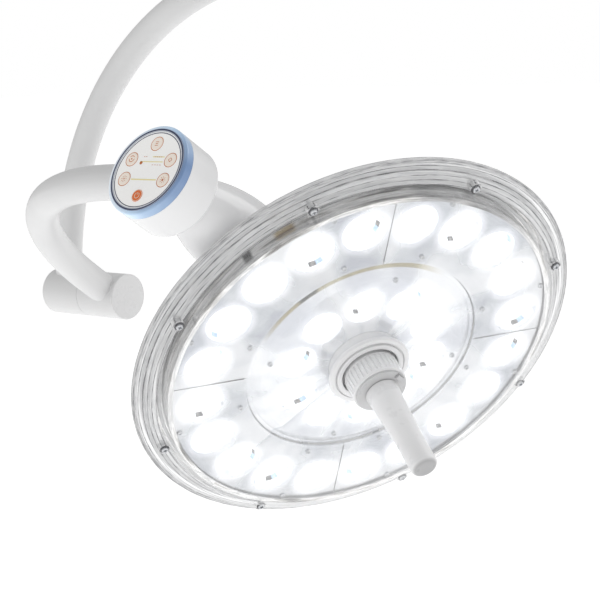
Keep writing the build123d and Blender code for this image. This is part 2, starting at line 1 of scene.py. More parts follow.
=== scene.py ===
"""Looks of the dental operating light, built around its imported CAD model.

The CAD frame is in metres. Pieces are drawn in millimetres in the axes of the lamp head or
of the control pod, whose heights are measured from the point where all three pivots cross.
"""

import json
from math import cos, pi, radians, sin, sqrt

import bmesh
import bpy
from mathutils import Matrix, Vector


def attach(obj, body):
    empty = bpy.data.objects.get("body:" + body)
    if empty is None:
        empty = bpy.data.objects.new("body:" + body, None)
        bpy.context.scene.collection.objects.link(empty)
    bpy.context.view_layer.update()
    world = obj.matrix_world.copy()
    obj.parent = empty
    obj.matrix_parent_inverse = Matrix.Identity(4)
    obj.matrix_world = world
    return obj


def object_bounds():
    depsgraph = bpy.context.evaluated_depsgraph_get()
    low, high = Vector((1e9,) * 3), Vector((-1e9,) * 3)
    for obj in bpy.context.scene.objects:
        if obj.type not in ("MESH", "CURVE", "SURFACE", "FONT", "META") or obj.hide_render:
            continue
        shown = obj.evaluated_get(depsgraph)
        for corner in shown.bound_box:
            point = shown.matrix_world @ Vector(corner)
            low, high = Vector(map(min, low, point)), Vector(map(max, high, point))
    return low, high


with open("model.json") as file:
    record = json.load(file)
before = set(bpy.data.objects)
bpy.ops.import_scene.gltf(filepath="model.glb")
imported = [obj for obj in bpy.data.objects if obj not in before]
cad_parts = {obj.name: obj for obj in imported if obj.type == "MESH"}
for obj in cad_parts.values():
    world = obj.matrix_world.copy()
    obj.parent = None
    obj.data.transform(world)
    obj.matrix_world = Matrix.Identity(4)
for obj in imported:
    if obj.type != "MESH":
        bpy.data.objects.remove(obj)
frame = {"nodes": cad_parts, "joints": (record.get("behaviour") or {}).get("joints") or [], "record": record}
CAD_LOW, CAD_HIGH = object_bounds()

# ---- axes of the lamp head and of the control pod, from the joints ----------------------
JOINTS = {joint["name"]: joint for joint in frame["joints"]}
GIMBAL = Vector(JOINTS["head_turn"]["pos_m"])
POD_AXIS = Vector(JOINTS["head_turn"]["axis"]).normalized()
BEAM = Vector(JOINTS["focus_turn"]["axis"]).normalized()
ACROSS = Vector((1, 0, 0))


def axes_matrix(x_axis, y_axis, z_axis, origin):
    """Matrix that takes a point from these axes to the object's frame."""
    turn = Matrix((x_axis, y_axis, z_axis)).transposed().to_4x4()
    return Matrix.Translation(origin) @ turn


HEAD = axes_matrix(POD_AXIS.cross(BEAM), POD_AXIS, BEAM, GIMBAL)
POD = axes_matrix(ACROSS, POD_AXIS.cross(ACROSS), POD_AXIS, GIMBAL)
MILLIMETRES = Matrix.Scale(0.001, 4)

# ---- sizes that the CAD model fixes, in mm ----------------------------------------------
OUTER_CUPS = {"count": 20, "circle": 162.0, "start": 0.0, "mouth": 22.5, "top": 60.0}
INNER_CUPS = {"count": 10, "circle": 71.0, "start": 18.0, "mouth": 20.0, "top": 62.0}
BOSSES = {"count": 8, "circle": 207.0, "start": 22.5, "top": 58.0}
CUP_DEPTH = 26.0
CUP_THROAT = 7.5
PANEL_TOP = 301.3
KEY_TOP = 301.7
KEY_RADIUS = 5.75
KEY_PITCH = 25.0
BEZEL_INNER = 37.0
BEZEL_OUTER = 39.6

# ---- places that the materials follow: start and end, in metres or radians --------------
GRIP_END_SHADE_HEIGHTS = (0.2045, 0.2066)
STEP_RADII = (0.1120, 0.1165)
STEP_YELLOW_REFLECTION_ARC = (0.45, 1.7)
STEP_DARK_REFLECTION_ARC = (1.38, 1.50)
CHROME_BELT_HEIGHTS = (0.046, 0.056)
CHROME_PATCH_ARC = (0.2, 1.1)
CHROME_GOLD_REFLECTION_ARC = (1.29, 1.36)
CHROME_BLACK_REFLECTION_ARC = (1.515, 1.54)
COVER_RIM_RADII = (0.2035, 0.206)
COVER_LIP_RADII = (0.2215, 0.2245)
COVER_REFRACTION_LINE_RADII = (0.2005, 0.203)
COVER_REFRACTION_LINE_PITCH = 0.0019
RING_SHADED_SIDE_ANGLE = radians(-8)


# ---- material helpers -------------------------------------------------------------------
class Finish:
    """A Principled material with helpers for the node chains that repeat.

    The plain colour given first is the stand-in for readers that skip the node chains.
    """

    def __init__(self, name, color, roughness, **sockets):
        self.mat = bpy.data.materials.new(name)
        self.mat.use_nodes = True
        self.tree = self.mat.node_tree
        self.shader = self.tree.nodes["Principled BSDF"]
        self.shader.inputs["Base Color"].default_value = (*color, 1)
        self.shader.inputs["Roughness"].default_value = roughness
        for socket, value in sockets.items():
            self.shader.inputs[socket.replace("_", " ")].default_value = value
        self.place = self.node("ShaderNodeTexCoord").outputs["Object"]

    def node(self, kind, **settings):
        made = self.tree.nodes.new(kind)
        for key, value in settings.items():
            setattr(made, key, value)
        return made

    def link(self, source, target):
        self.tree.links.new(source, target)

    def math(self, operation, *values):
        """Math node over sockets and numbers."""
        made = self.node("ShaderNodeMath", operation=operation)
        for place, value in enumerate(values):
            if isinstance(value, (int, float)):
                made.inputs[place].default_value = value
            else:
                self.link(value, made.inputs[place])
        return made.outputs[0]

    def noise(self, scale, detail, stretch=(1, 1, 1), source=None):
        """Noise over the object's own coordinates, in features per metre."""
        mapping = self.node("ShaderNodeMapping")
        mapping.inputs["Scale"].default_value = stretch
        self.link(source or self.place, mapping.inputs["Vector"])
        made = self.node("ShaderNodeTexNoise")
        made.inputs["Scale"].default_value = scale
        made.inputs["Detail"].default_value = detail
        self.link(mapping.outputs["Vector"], made.inputs["Vector"])
        return made.outputs["Fac"]

    def spread(self, value, low, high, start=0.3, end=0.7, smooth=False):
        """Value mapped from start..end to low..high and held there."""
        made = self.node("ShaderNodeMapRange")
        if smooth:
            made.interpolation_type = "SMOOTHSTEP"
        made.inputs["From Min"].default_value = start
        made.inputs["From Max"].default_value = end
        made.inputs["To Min"].default_value = low
        made.inputs["To Max"].default_value = high
        self.link(value, made.inputs["Value"])
        return made.outputs["Result"]

    def ramp(self, value, *stops):
        """Colour along a ramp of (position, colour) stops."""
        made = self.node("ShaderNodeValToRGB")
        while len(made.color_ramp.elements) < len(stops):
            made.color_ramp.elements.new(0.5)
        for element, (position, color) in zip(made.color_ramp.elements, stops):
            element.position = position
            element.color = (*color, 1)
        self.link(value, made.inputs["Fac"])
        return made.outputs["Color"]

    def over(self, share, under, top):
        """Colour laid over another by a share of 0 to 1."""
        made = self.node("ShaderNodeMix", data_type="RGBA")
        self.link(share, made.inputs["Factor"])
        color_sockets = [socket for socket in made.inputs if socket.type == "RGBA"]
        for source, target in zip((under, top), color_sockets):
            self.link(source, target)
        return next(socket for socket in made.outputs if socket.type == "RGBA")

    def tint(self, value, low_color, high_color):
        """Base colour that runs from one tone to the other with a noise value."""
        color = self.ramp(value, (0.35, low_color), (0.65, high_color))
        self.link(color, self.shader.inputs["Base Color"])
        return color

    def rough(self, value, low, high):
        self.link(self.spread(value, low, high), self.shader.inputs["Roughness"])

    def bump(self, value, depth, strength=1.0):
        """Relief of the given depth in metres."""
        made = self.node("ShaderNodeBump")
        made.inputs["Distance"].default_value = depth
        made.inputs["Strength"].default_value = strength
        self.link(value, made.inputs["Height"])
        self.link(made.outputs["Normal"], self.shader.inputs["Normal"])

    def distance(self, x, y):
        """Length of the vector (x, y)."""
        x_squared, y_squared = self.math("POWER", x, 2), self.math("POWER", y, 2)
        return self.math("SQRT", self.math("ADD", x_squared, y_squared))

    def local(self, axes):
        """Coordinates in the given axes: radius, angle and height, in metres and radians."""
        mapping = self.node("ShaderNodeMapping", vector_type="TEXTURE")
        mapping.inputs["Location"].default_value = axes.to_translation()
        mapping.inputs["Rotation"].default_value = axes.to_euler("XYZ")
        self.link(self.place, mapping.inputs["Vector"])
        parts = self.node("ShaderNodeSeparateXYZ")
        self.link(mapping.outputs["Vector"], parts.inputs["Vector"])
        x, y, height = parts.outputs
        return self.distance(x, y), self.math("ARCTAN2", y, x), height

    def window(self, value, start, end, soft):
        """1 between start and end, falling to 0 over the soft margin outside them."""
        rise = self.spread(value, 0.0, 1.0, start - soft, start, True)
        fall = self.spread(value, 1.0, 0.0, end, end + soft, True)
        return self.math("MULTIPLY", rise, fall)

    def unrolled(self, radius, angle, height):
        """Vector that follows the circumference, for marks that run round the axis."""
        made = self.node("ShaderNodeCombineXYZ")
        for place, value in zip(made.inputs, (self.math("MULTIPLY", angle, 0.2), radius, height)):
            self.link(value, place)
        return made.outputs[0]

    def nearest_cup(self, radius, angle, cups):
        """Distance in metres from the axis of the nearest cup of a circle of cups."""
        step = 2 * pi / cups["count"]
        turned = self.math("SUBTRACT", angle, radians(cups["start"]) - step / 2)
        folded = self.math("SUBTRACT", self.math("FLOORED_MODULO", turned, step), step / 2)
        along = self.math("MULTIPLY", radius, self.math("COSINE", folded))
        along = self.math("SUBTRACT", along, cups["circle"] / 1000)
        aside = self.math("MULTIPLY", radius, self.math("SINE", folded))
        return self.distance(along, aside)


def painted(name, color, shade):
    """Powder coat: faint tone shifts, fine orange peel and a soft clear gloss."""
    made = Finish(name, color, 0.36, Coat_Weight=0.25, Coat_Roughness=0.18)
    made.tint(made.noise(9, 2), shade, color)
    made.rough(made.noise(60, 4), 0.34, 0.46)
    made.bump(made.noise(1500, 2), 0.00004, 0.35)
    return made.mat


def moulded(name, color, shade, roughness=0.28, **sockets):
    """Moulded plastic: slight flow marks and a very fine texture."""
    made = Finish(name, color, roughness, **sockets)
    made.tint(made.noise(14, 3), shade, color)
    made.rough(made.noise(90, 3), roughness * 0.85, roughness * 1.2)
    made.bump(made.noise(2600, 2), 0.00002, 0.3)
    return made.mat


def grip_plastic():
    """Autoclavable plastic of the handle, with painted shade darkening its end face."""
    made = Finish("handle_plastic", (0.74, 0.74, 0.745), 0.3)
    flow = made.noise(14, 3)
    pale = made.ramp(flow, (0.35, (0.83, 0.83, 0.836)), (0.65, (0.88, 0.88, 0.885)))
    # the darker tone of the end face is painted shade
    face = made.ramp(flow, (0.35, (0.40, 0.40, 0.404)), (0.65, (0.46, 0.46, 0.465)))
    end = made.spread(made.local(HEAD)[2], 0.0, 1.0, *GRIP_END_SHADE_HEIGHTS)
    made.link(made.over(end, pale, face), made.shader.inputs["Base Color"])
    made.rough(made.noise(90, 3), 0.25, 0.36)
    made.bump(made.noise(2600, 2), 0.00002, 0.3)
    return made.mat


def metal(name, color, shade, roughness, stretch=(1, 1, 1), grain=700):
    """Metal with a grain stretched along the tool marks."""
    made = Finish(name, color, roughness, Metallic=1.0)
    marks = made.noise(grain, 4, stretch)
    made.tint(marks, shade, color)
    made.rough(marks, roughness * 0.75, roughness * 1.3)
    made.bump(marks, 0.00002, 0.4)
    return made.mat


def rubber(name, color, shade):
    """Matt rubber with a fine, slightly uneven skin."""
    made = Finish(name, color, 0.62)
    made.tint(made.noise(120, 4), shade, color)
    made.rough(made.noise(300, 3), 0.52, 0.72)
    made.bump(made.noise(2400, 3), 0.00004, 0.5)
    return made.mat


def glowing(name, color, shade, strength, grain=1800):
    """Lit surface whose brightness follows a fine grain."""
    made = Finish(name, color, 0.2, Emission_Strength=strength)
    spots = made.noise(grain, 2)
    tone = made.tint(spots, shade, color)
    made.link(tone, made.shader.inputs["Emission Color"])
    made.rough(spots, 0.15, 0.3)
    return made.mat


def reflector_sheet():
    """Metallised plastic with painted light of the LEDs: bright round each lit cup and soft silver between
    the cups.
    """
    made = Finish("reflector", (0.78, 0.79, 0.81), 0.26, Metallic=1.0, Emission_Strength=0.9)
    radius, angle, height = made.local(HEAD)
    streaks = made.noise(14, 2, (1, 1, 1), made.unrolled(radius, angle, height))
    base = made.ramp(
        streaks, (0.38, (0.40, 0.42, 0.47)), (0.5, (0.56, 0.58, 0.61)), (0.62, (0.72, 0.73, 0.75)),
    )
    # painted reflection: the step round the inner reflector is painted with the yellowish and dark parts of
    # the room that it mirrors
    step = made.window(radius, *STEP_RADII, 0.0012)
    step = made.math("MULTIPLY", step, made.window(angle, *STEP_YELLOW_REFLECTION_ARC, 0.35))
    yellow_reflection = made.ramp(streaks, (0.4, (0.30, 0.26, 0.14)), (0.6, (0.55, 0.52, 0.40)))
    base = made.over(step, base, yellow_reflection)
    dark = made.math("MULTIPLY", step, made.window(angle, *STEP_DARK_REFLECTION_ARC, 0.06))
    black_reflection = made.ramp(streaks, (0.4, (0.02, 0.018, 0.012)), (0.6, (0.05, 0.045, 0.03)))
    base = made.over(dark, base, black_reflection)
    made.link(base, made.shader.inputs["Base Color"])
    # the emission round each cup is painted light of the LEDs
    outer = made.nearest_cup(radius, angle, OUTER_CUPS)
    inner = made.nearest_cup(radius, angle, INNER_CUPS)
    outer_glow = made.spread(outer, 0.54, 0.04, 0.0205, 0.0305, True)
    inner_glow = made.spread(inner, 0.56, 0.34, 0.0185, 0.028, True)
    on_inner = made.spread(radius, 1.0, 0.0, 0.112, 0.124, True)
    glow = made.math("MAXIMUM", outer_glow, made.math("MULTIPLY", inner_glow, on_inner))
    glow = made.math("MULTIPLY", glow, made.math("SUBTRACT", 1.0, made.math("MULTIPLY", step, 0.8)))
    light = made.ramp(
        glow, (0.0, (0.0, 0.0, 0.0)), (0.5, (0.34, 0.34, 0.345)), (1.0, (1.0, 1.0, 0.99)),
    )
    made.link(light, made.shader.inputs["Emission Color"])
    made.rough(streaks, 0.2, 0.34)
    made.bump(made.noise(30, 2), 0.001, 0.1)
    return made.mat


def lit_cup():
    """Faceted cup wall with painted LED light, brightest at the LED and softer towards the mouth."""
    made = Finish("facet_lit", (0.86, 0.87, 0.89), 0.22, Metallic=1.0, Emission_Strength=1.0)
    radius, angle = made.local(HEAD)[:2]
    shares = []
    for cups in (OUTER_CUPS, INNER_CUPS):
        distance = made.nearest_cup(radius, angle, cups)
        shares.append(made.math("DIVIDE", distance, cups["mouth"] / 1000))
    share = made.math("MINIMUM", *shares)
    grain = made.noise(90, 2)
    share = made.math("ADD", share, made.spread(grain, -0.08, 0.08))
    # painted LED light, strongest at the throat of each cup
    light = made.ramp(
        share, (0.0, (1.2, 1.2, 1.17)), (0.5, (0.92, 0.92, 0.91)), (0.8, (0.45, 0.46, 0.48)),
        (1.0, (0.14, 0.15, 0.17)),
    )
    made.link(light, made.shader.inputs["Emission Color"])
    made.tint(grain, (0.74, 0.76, 0.80), (0.90, 0.90, 0.90))
    made.rough(grain, 0.16, 0.3)
    return made.mat


def chrome_band():
    """Polished ring whose dark, brownish and bright streaks round it are painted reflections."""
    made = Finish("chrome", (0.72, 0.72, 0.73), 0.12, Metallic=1.0)
    radius, angle, height = made.local(HEAD)
    around = made.unrolled(radius, angle, height)
    streaks = made.noise(30, 4, (0.5, 5, 6), around)
    tone = made.ramp(
        streaks, (0.34, (0.12, 0.115, 0.11)), (0.42, (0.55, 0.54, 0.52)), (0.5, (0.97, 0.96, 0.95)),
        (0.57, (0.62, 0.62, 0.62)), (0.66, (1.0, 1.0, 0.99)),
    )
    # broad patches of painted reflection, where the ring mirrors darker parts of the room
    patches = made.spread(made.noise(9, 2, (1, 0.4, 0.4), around), 0.0, 1.0, 0.46, 0.6, True)
    patches = made.math("MULTIPLY", patches, made.window(angle, *CHROME_PATCH_ARC, 0.5))
    greyish = made.ramp(streaks, (0.35, (0.05, 0.05, 0.05)), (0.65, (0.5, 0.5, 0.5)))
    tone = made.over(patches, tone, greyish)
    # the brownish and the black mark on this belt are painted reflections of a gold and a dark thing near
    # the rim
    belt = made.window(height, *CHROME_BELT_HEIGHTS, 0.004)
    gold_reflection = made.math("MULTIPLY", made.window(angle, *CHROME_GOLD_REFLECTION_ARC, 0.03), belt)
    brownish = made.ramp(streaks, (0.4, (0.20, 0.12, 0.04)), (0.6, (0.62, 0.5, 0.3)))
    tone = made.over(gold_reflection, tone, brownish)
    black = made.math("MULTIPLY", made.window(angle, *CHROME_BLACK_REFLECTION_ARC, 0.02), belt)
    black_reflection = made.ramp(streaks, (0.4, (0.004, 0.004, 0.004)), (0.6, (0.05, 0.05, 0.05)))
    tone = made.over(black, tone, black_reflection)
    made.link(tone, made.shader.inputs["Base Color"])
    made.rough(streaks, 0.08, 0.2)
    made.bump(made.noise(20, 3, (0.5, 1, 1), around), 0.001, 0.3)
    return made.mat


def clear_plastic():
    """Clear polycarbonate: nearly invisible from the front, with painted dark refraction lines on the rim
    and a faint painted glow.
    """
    made = Finish("clear_cover", (0.93, 0.94, 0.95), 0.05, IOR=1.58, Emission_Strength=0.22)
    edge = made.node("ShaderNodeLayerWeight")
    edge.inputs["Blend"].default_value = 0.35
    radius, angle, height = made.local(HEAD)
    rim = made.spread(radius, 0.0, 0.24, *COVER_RIM_RADII)
    # the dark line at the outer lip is painted refraction shade
    lip = made.window(radius, *COVER_LIP_RADII, 0.001)
    reach = made.spread(edge.outputs["Facing"], 0.05, 0.40, 0.0, 1.0)
    # dark rings at a fixed pitch on the rim are painted refraction lines
    wobble = made.math("MULTIPLY", made.noise(10, 2), 0.0012)
    rings = made.math("PINGPONG", made.math("ADD", radius, wobble), COVER_REFRACTION_LINE_PITCH)
    line = made.spread(rings, 1.0, 0.0, 0.0002, 0.0006, True)
    line = made.math("MULTIPLY", line, made.spread(radius, 0.0, 1.0, *COVER_REFRACTION_LINE_RADII))
    cover = made.math("ADD", made.math("ADD", reach, rim), made.math("MULTIPLY", line, 0.42))
    cover = made.math("ADD", cover, made.math("MULTIPLY", lip, 0.3))
    made.link(made.math("MINIMUM", cover, 1.0), made.shader.inputs["Alpha"])
    marks = made.noise(120, 4, (0.6, 6, 6), made.unrolled(radius, angle, height))
    pale = made.ramp(marks, (0.35, (0.80, 0.81, 0.82)), (0.65, (0.97, 0.97, 0.97)))
    shade = made.ramp(marks, (0.4, (0.10, 0.10, 0.105)), (0.6, (0.36, 0.36, 0.365)))
    tone = made.over(made.math("MAXIMUM", line, made.math("MULTIPLY", lip, 0.7)), pale, shade)
    made.link(tone, made.shader.inputs["Base Color"])
    # the emission is painted light of the LEDs leaking into the rim
    made.link(tone, made.shader.inputs["Emission Color"])
    made.rough(made.noise(200, 4), 0.03, 0.09)
    return made.mat


def painted_light_ring():
    """Translucent blue ring with painted light: deep blue with painted shade towards the lamp, pale with a
    painted highlight opposite, and a faint painted glow.
    """
    made = Finish("blue_plastic", (0.30, 0.45, 0.62), 0.2, Coat_Weight=0.4, Emission_Strength=0.2)
    angle = made.local(POD)[1]
    # pale on one side and deep blue on the other: painted highlight and painted shade
    painted_light_side = made.math("COSINE", made.math("SUBTRACT", angle, RING_SHADED_SIDE_ANGLE))
    cloud = made.math("ADD", painted_light_side, made.math("MULTIPLY", made.noise(30, 2), 0.7))
    tone = made.ramp(
        made.spread(cloud, 0.0, 1.0, -0.5, 1.4),
        (0.0, (0.76, 0.82, 0.88)), (0.5, (0.50, 0.66, 0.84)), (1.0, (0.15, 0.24, 0.42)),
    )
    made.link(tone, made.shader.inputs["Base Color"])
    made.link(tone, made.shader.inputs["Emission Color"])
    made.rough(made.noise(80, 3), 0.16, 0.26)
    return made.mat


def bezel_lines():
    """Bezel with a dark printed line between two pale ones."""
    made = Finish("navy_plastic", (0.03, 0.05, 0.13), 0.2)
    radius = made.local(POD)[0]
    share = made.spread(radius, 0.0, 1.0, BEZEL_INNER / 1000, BEZEL_OUTER / 1000)
    tone = made.ramp(
        share, (0.0, (0.55, 0.59, 0.66)), (0.30, (0.55, 0.59, 0.66)), (0.36, (0.02, 0.03, 0.09)),
        (0.86, (0.015, 0.03, 0.1)), (0.92, (0.45, 0.5, 0.6)), (1.0, (0.45, 0.5, 0.6)),
    )
    made.link(tone, made.shader.inputs["Base Color"])
    made.rough(made.noise(120, 3), 0.15, 0.28)
    return made.mat


MATERIALS = {
    "white_paint": painted("white_paint", (0.77, 0.77, 0.77), (0.74, 0.74, 0.742)),
    "white_cap": moulded("white_cap", (0.80, 0.80, 0.80), (0.77, 0.77, 0.772)),
    "white_plastic": moulded(
        "white_plastic", (0.84, 0.84, 0.845), (0.81, 0.81, 0.816), 0.22, Coat_Weight=0.3,
    ),
    "grey_plastic": moulded("grey_plastic", (0.60, 0.60, 0.605), (0.56, 0.56, 0.565), 0.3),
    "handle_plastic": grip_plastic(),
    "blue_plastic": painted_light_ring(),
    "navy_plastic": bezel_lines(),
    # the faint white glow of panel_film and key_peach is painted light
    "panel_film": moulded(
        "panel_film", (0.84, 0.835, 0.815), (0.81, 0.805, 0.79), 0.25, Emission_Strength=0.2,
    ),
    "key_peach": moulded(
        "key_peach", (0.90, 0.80, 0.70), (0.87, 0.76, 0.65), 0.28, Emission_Strength=0.12,
    ),
    "key_orange": moulded("key_orange", (0.90, 0.21, 0.03), (0.82, 0.15, 0.02), 0.26),
    "steel": metal("steel", (0.62, 0.63, 0.65), (0.5, 0.51, 0.53), 0.28, (1, 1, 6)),
    "bronze": metal("bronze", (0.66, 0.45, 0.2), (0.52, 0.34, 0.14), 0.34),
    "cable_sheath": rubber("cable_sheath", (0.02, 0.02, 0.022), (0.012, 0.012, 0.013)),
    "circuit_board": moulded("circuit_board", (0.02, 0.16, 0.07), (0.012, 0.11, 0.05), 0.35),
    "led_board": moulded("led_board", (0.82, 0.82, 0.8), (0.76, 0.76, 0.74), 0.4),
    "cast_aluminium": metal(
        "cast_aluminium", (0.66, 0.67, 0.69), (0.55, 0.56, 0.58), 0.4, grain=400,
    ),
    "seal_rubber": rubber("seal_rubber", (0.62, 0.62, 0.63), (0.54, 0.54, 0.55)),
    "chrome": chrome_band(),
    "reflector": reflector_sheet(),
    "led_lens": glowing("led_lens", (1.0, 0.97, 0.9), (1.0, 0.93, 0.8), 12.0),
    "clear_cover": clear_plastic(),
    "facet_lit": lit_cup(),
    # the blue and the dark facets are painted reflections
    "facet_blue_reflection": glowing("facet_blue_reflection", (0.42, 0.55, 0.72), (0.25, 0.36, 0.52), 0.5, 300),
    "facet_dark_reflection": metal("facet_dark_reflection", (0.28, 0.27, 0.26), (0.12, 0.12, 0.12), 0.25, grain=300),
    "print_orange": moulded("print_orange", (0.66, 0.20, 0.04), (0.56, 0.15, 0.03), 0.3),
    "print_yellow": moulded("print_yellow", (0.97, 0.88, 0.46), (0.92, 0.82, 0.40), 0.3),
    "print_navy": moulded("print_navy", (0.03, 0.045, 0.12), (0.02, 0.03, 0.08), 0.25),
    "dark_steel": metal("dark_steel", (0.20, 0.20, 0.21), (0.06, 0.06, 0.065), 0.22, grain=900),
    "print_white": moulded("print_white", (0.9, 0.78, 0.62), (0.84, 0.7, 0.52), 0.3),
}


def dress_cad_nodes():
    """Give each CAD node the finish of its material slot in the record."""
    for row in frame["record"]["subparts"]:
        node = frame["nodes"][row["node"]]
        node.data.materials.clear()
        node.data.materials.append(MATERIALS[row["material_slot"]])


# ---- mesh helpers, in mm ----------------------------------------------------------------
def lathe(mesh, profile, sides, centre=(0.0, 0.0), twist=0.0):
    """Surface of revolution about a line along Z, from (radius, height) points."""
    angles = [2 * pi * (k + twist) / sides for k in range(sides)]
    rows = []
    for radius, height in profile:
        spots = [(centre[0] + radius * cos(a), centre[1] + radius * sin(a), height) for a in angles]
        rows.append([mesh.verts.new(spot) for spot in spots])
    faces = []
    for low, high in zip(rows, rows[1:]):
        for k in range(sides):
            after = (k + 1) % sides
            faces.append(mesh.faces.new((low[k], low[after], high[after], high[k])))
    return faces


def piece(name, mesh, axes, body, slot, *materials, smooth=False):
    """Turn a bmesh drawn in mm into an object that rides on a body."""
    data = bpy.data.meshes.new(name)
    bmesh.ops.recalc_face_normals(mesh, faces=mesh.faces)
    for face in mesh.faces:
        face.smooth = smooth
    mesh.to_mesh(data)
    mesh.free()
    data.transform(axes @ MILLIMETRES)
    for material in materials:
        data.materials.append(MATERIALS[material])
    made = bpy.data.objects.new(name, data)
    bpy.context.scene.collection.objects.link(made)
    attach(made, body)


def centre_on(circle, number):
    """Centre of one of the cups or bosses that stand on a circle."""
    at = radians(circle["start"]) + 2 * pi * number / circle["count"]
    return circle["circle"] * cos(at), circle["circle"] * sin(at)


# ---- reflector cups: faceted liners with painted LED light, and blue and dark facets of painted reflection ---
FACET_SIDES = 18
FACET_ROWS = 6
FACET_TWIST = 0.37
LINER_GAP = 0.3
LINER_LIFT = 0.15
# (facets past the one that faces away from the neck, 1 for blue or 2 for dark painted reflection), cup after
# cup
REFLECTION_FACET_PATTERNS = [
    [(2, 1), (3, 1)],
    [(-3, 2)],
    [],
    [(1, 1), (2, 2)],
    [(-2, 2), (-1, 1)],
    [(4, 2)],
    [(-4, 1)],
]


def cup_profile(cups):
    """Radius and height of the cup wall from the throat to the mouth."""
    mouth = cups["mouth"] - LINER_GAP
    points = []
    for row in range(FACET_ROWS + 1):
        share = row / FACET_ROWS
        radius = sqrt(CUP_THROAT ** 2 + (mouth ** 2 - CUP_THROAT ** 2) * share)
        points.append((radius - LINER_GAP, cups["top"] - CUP_DEPTH * (1 - share) + LINER_LIFT))
    return points


def make_cup_liners(name, cups):
    """Faceted liners, a few of whose facets carry painted blue and dark reflections."""
    mesh = bmesh.new()
    for number in range(cups["count"]):
        twist = FACET_TWIST * number
        faces = lathe(mesh, cup_profile(cups), FACET_SIDES, centre_on(cups, number), twist)
        facing = round(-FACET_SIDES / 4 - twist) % FACET_SIDES
        row = FACET_ROWS - 2 - number % 2
        for step, material in REFLECTION_FACET_PATTERNS[number % len(REFLECTION_FACET_PATTERNS)]:
            faces[row * FACET_SIDES + (facing + step) % FACET_SIDES].material_index = material
    piece(name, mesh, HEAD, "lamp_head", "reflector", "facet_lit", "facet_blue_reflection", "facet_dark_reflection")


# ---- reflector: joint lines of the quadrants --------------------------------------------
SEAM_MIDDLE = 150.0
SEAM_LENGTH = 58.0
SEAM_LIFT = 0.25
SEAM_WIDE_END = 0.55
SEAM_NARROW_END = 0.12


def make_seam_strips():
    """Dark joint lines where the four outer reflector quadrants meet."""
    mesh = bmesh.new()
    for number in range(4):
        turn = Matrix.Rotation(pi / 4 + number * pi / 2, 4, "Z")
        place = turn @ Matrix.Translation((SEAM_MIDDLE, 0, OUTER_CUPS["top"] + SEAM_LIFT))
        bmesh.ops.create_cone(
            mesh,
            cap_ends=True,
            segments=6,
            radius1=SEAM_WIDE_END,
            radius2=SEAM_NARROW_END,
            depth=SEAM_LENGTH,
            matrix=place @ Matrix.Rotation(pi / 2, 4, "Y"),
        )
    piece("seam_strips", mesh, HEAD, "lamp_head", "reflector", "dark_steel")


# ---- rim: bead round the foot of the chrome ring, and dark rings of painted shade at the screws ---
BEAD_RADIUS = 198.6
BEAD_HEIGHT = 45.0
BEAD_HALF_WIDTH = 1.6
BEAD_HALF_HEIGHT = 1.7
BEAD_SECTION_SIDES = 12
BEAD_SIDES = 180
SHADE_RING_INNER = 3.5
SHADE_RING_OUTER = 4.6
SHADE_RING_FOOT = BOSSES["top"] + 0.05
SHADE_RING_EDGE = BOSSES["top"] + 0.6
SHADE_RING_CROWN = BOSSES["top"] + 0.9
SHADE_RING_SIDES = 32


def make_rim_bead():
    """Soft bead where the clear cover meets the chrome ring."""
    mesh = bmesh.new()
    profile = []
    for step in range(BEAD_SECTION_SIDES + 1):
        angle = 2 * pi * step / BEAD_SECTION_SIDES
        radius = BEAD_RADIUS + BEAD_HALF_WIDTH * cos(angle)
        profile.append((radius, BEAD_HEIGHT + BEAD_HALF_HEIGHT * sin(angle)))
    lathe(mesh, profile, BEAD_SIDES)
    bmesh.ops.remove_doubles(mesh, verts=mesh.verts, dist=0.01)
    piece("rim_bead", mesh, HEAD, "lamp_head", "seal_rubber", "seal_rubber", smooth=True)


def make_screw_shade_rings():
    """Dark rings under the heads of the cover screws: painted shade that stands in for the dark refraction
    outlines of the clear bosses.
    """
    profile = [
        (SHADE_RING_INNER, SHADE_RING_FOOT),
        (SHADE_RING_OUTER, SHADE_RING_FOOT),
        (SHADE_RING_OUTER, SHADE_RING_EDGE),
        (SHADE_RING_INNER, SHADE_RING_CROWN),
        (SHADE_RING_INNER, SHADE_RING_FOOT),
    ]
    mesh = bmesh.new()
    for number in range(BOSSES["count"]):
        lathe(mesh, profile, SHADE_RING_SIDES, centre_on(BOSSES, number))
    bmesh.ops.remove_doubles(mesh, verts=mesh.verts, dist=0.01)
    piece("screw_shade_rings", mesh, HEAD, "lamp_head", "steel", "dark_steel")


# ---- control pod: printed rings and symbols ---------------------------------------------
PRINT = 0.06
DOT_HOLE = 0.05
KEY_FIELD_EDGE = KEY_RADIUS + 0.55
KEY_OUTLINE_EDGE = KEY_RADIUS + 1.2
# angles of the keys round the panel
LEVEL_KEY = 90
TONE_KEY = 22.5
BRIGHTER_KEY = -22.5
DIMMER_KEY = 202.5
FIELD_KEY = 157.5
POWER_KEY = -90
TOUCH_KEYS = (LEVEL_KEY, TONE_KEY, BRIGHTER_KEY, DIMMER_KEY, FIELD_KEY)
# length, width, x and y
LEVEL_BARS = ((30, 1.2, 0, -9.6), (27, 0.9, 1.5, 7.6), (14, 1.0, 8, 12.4))


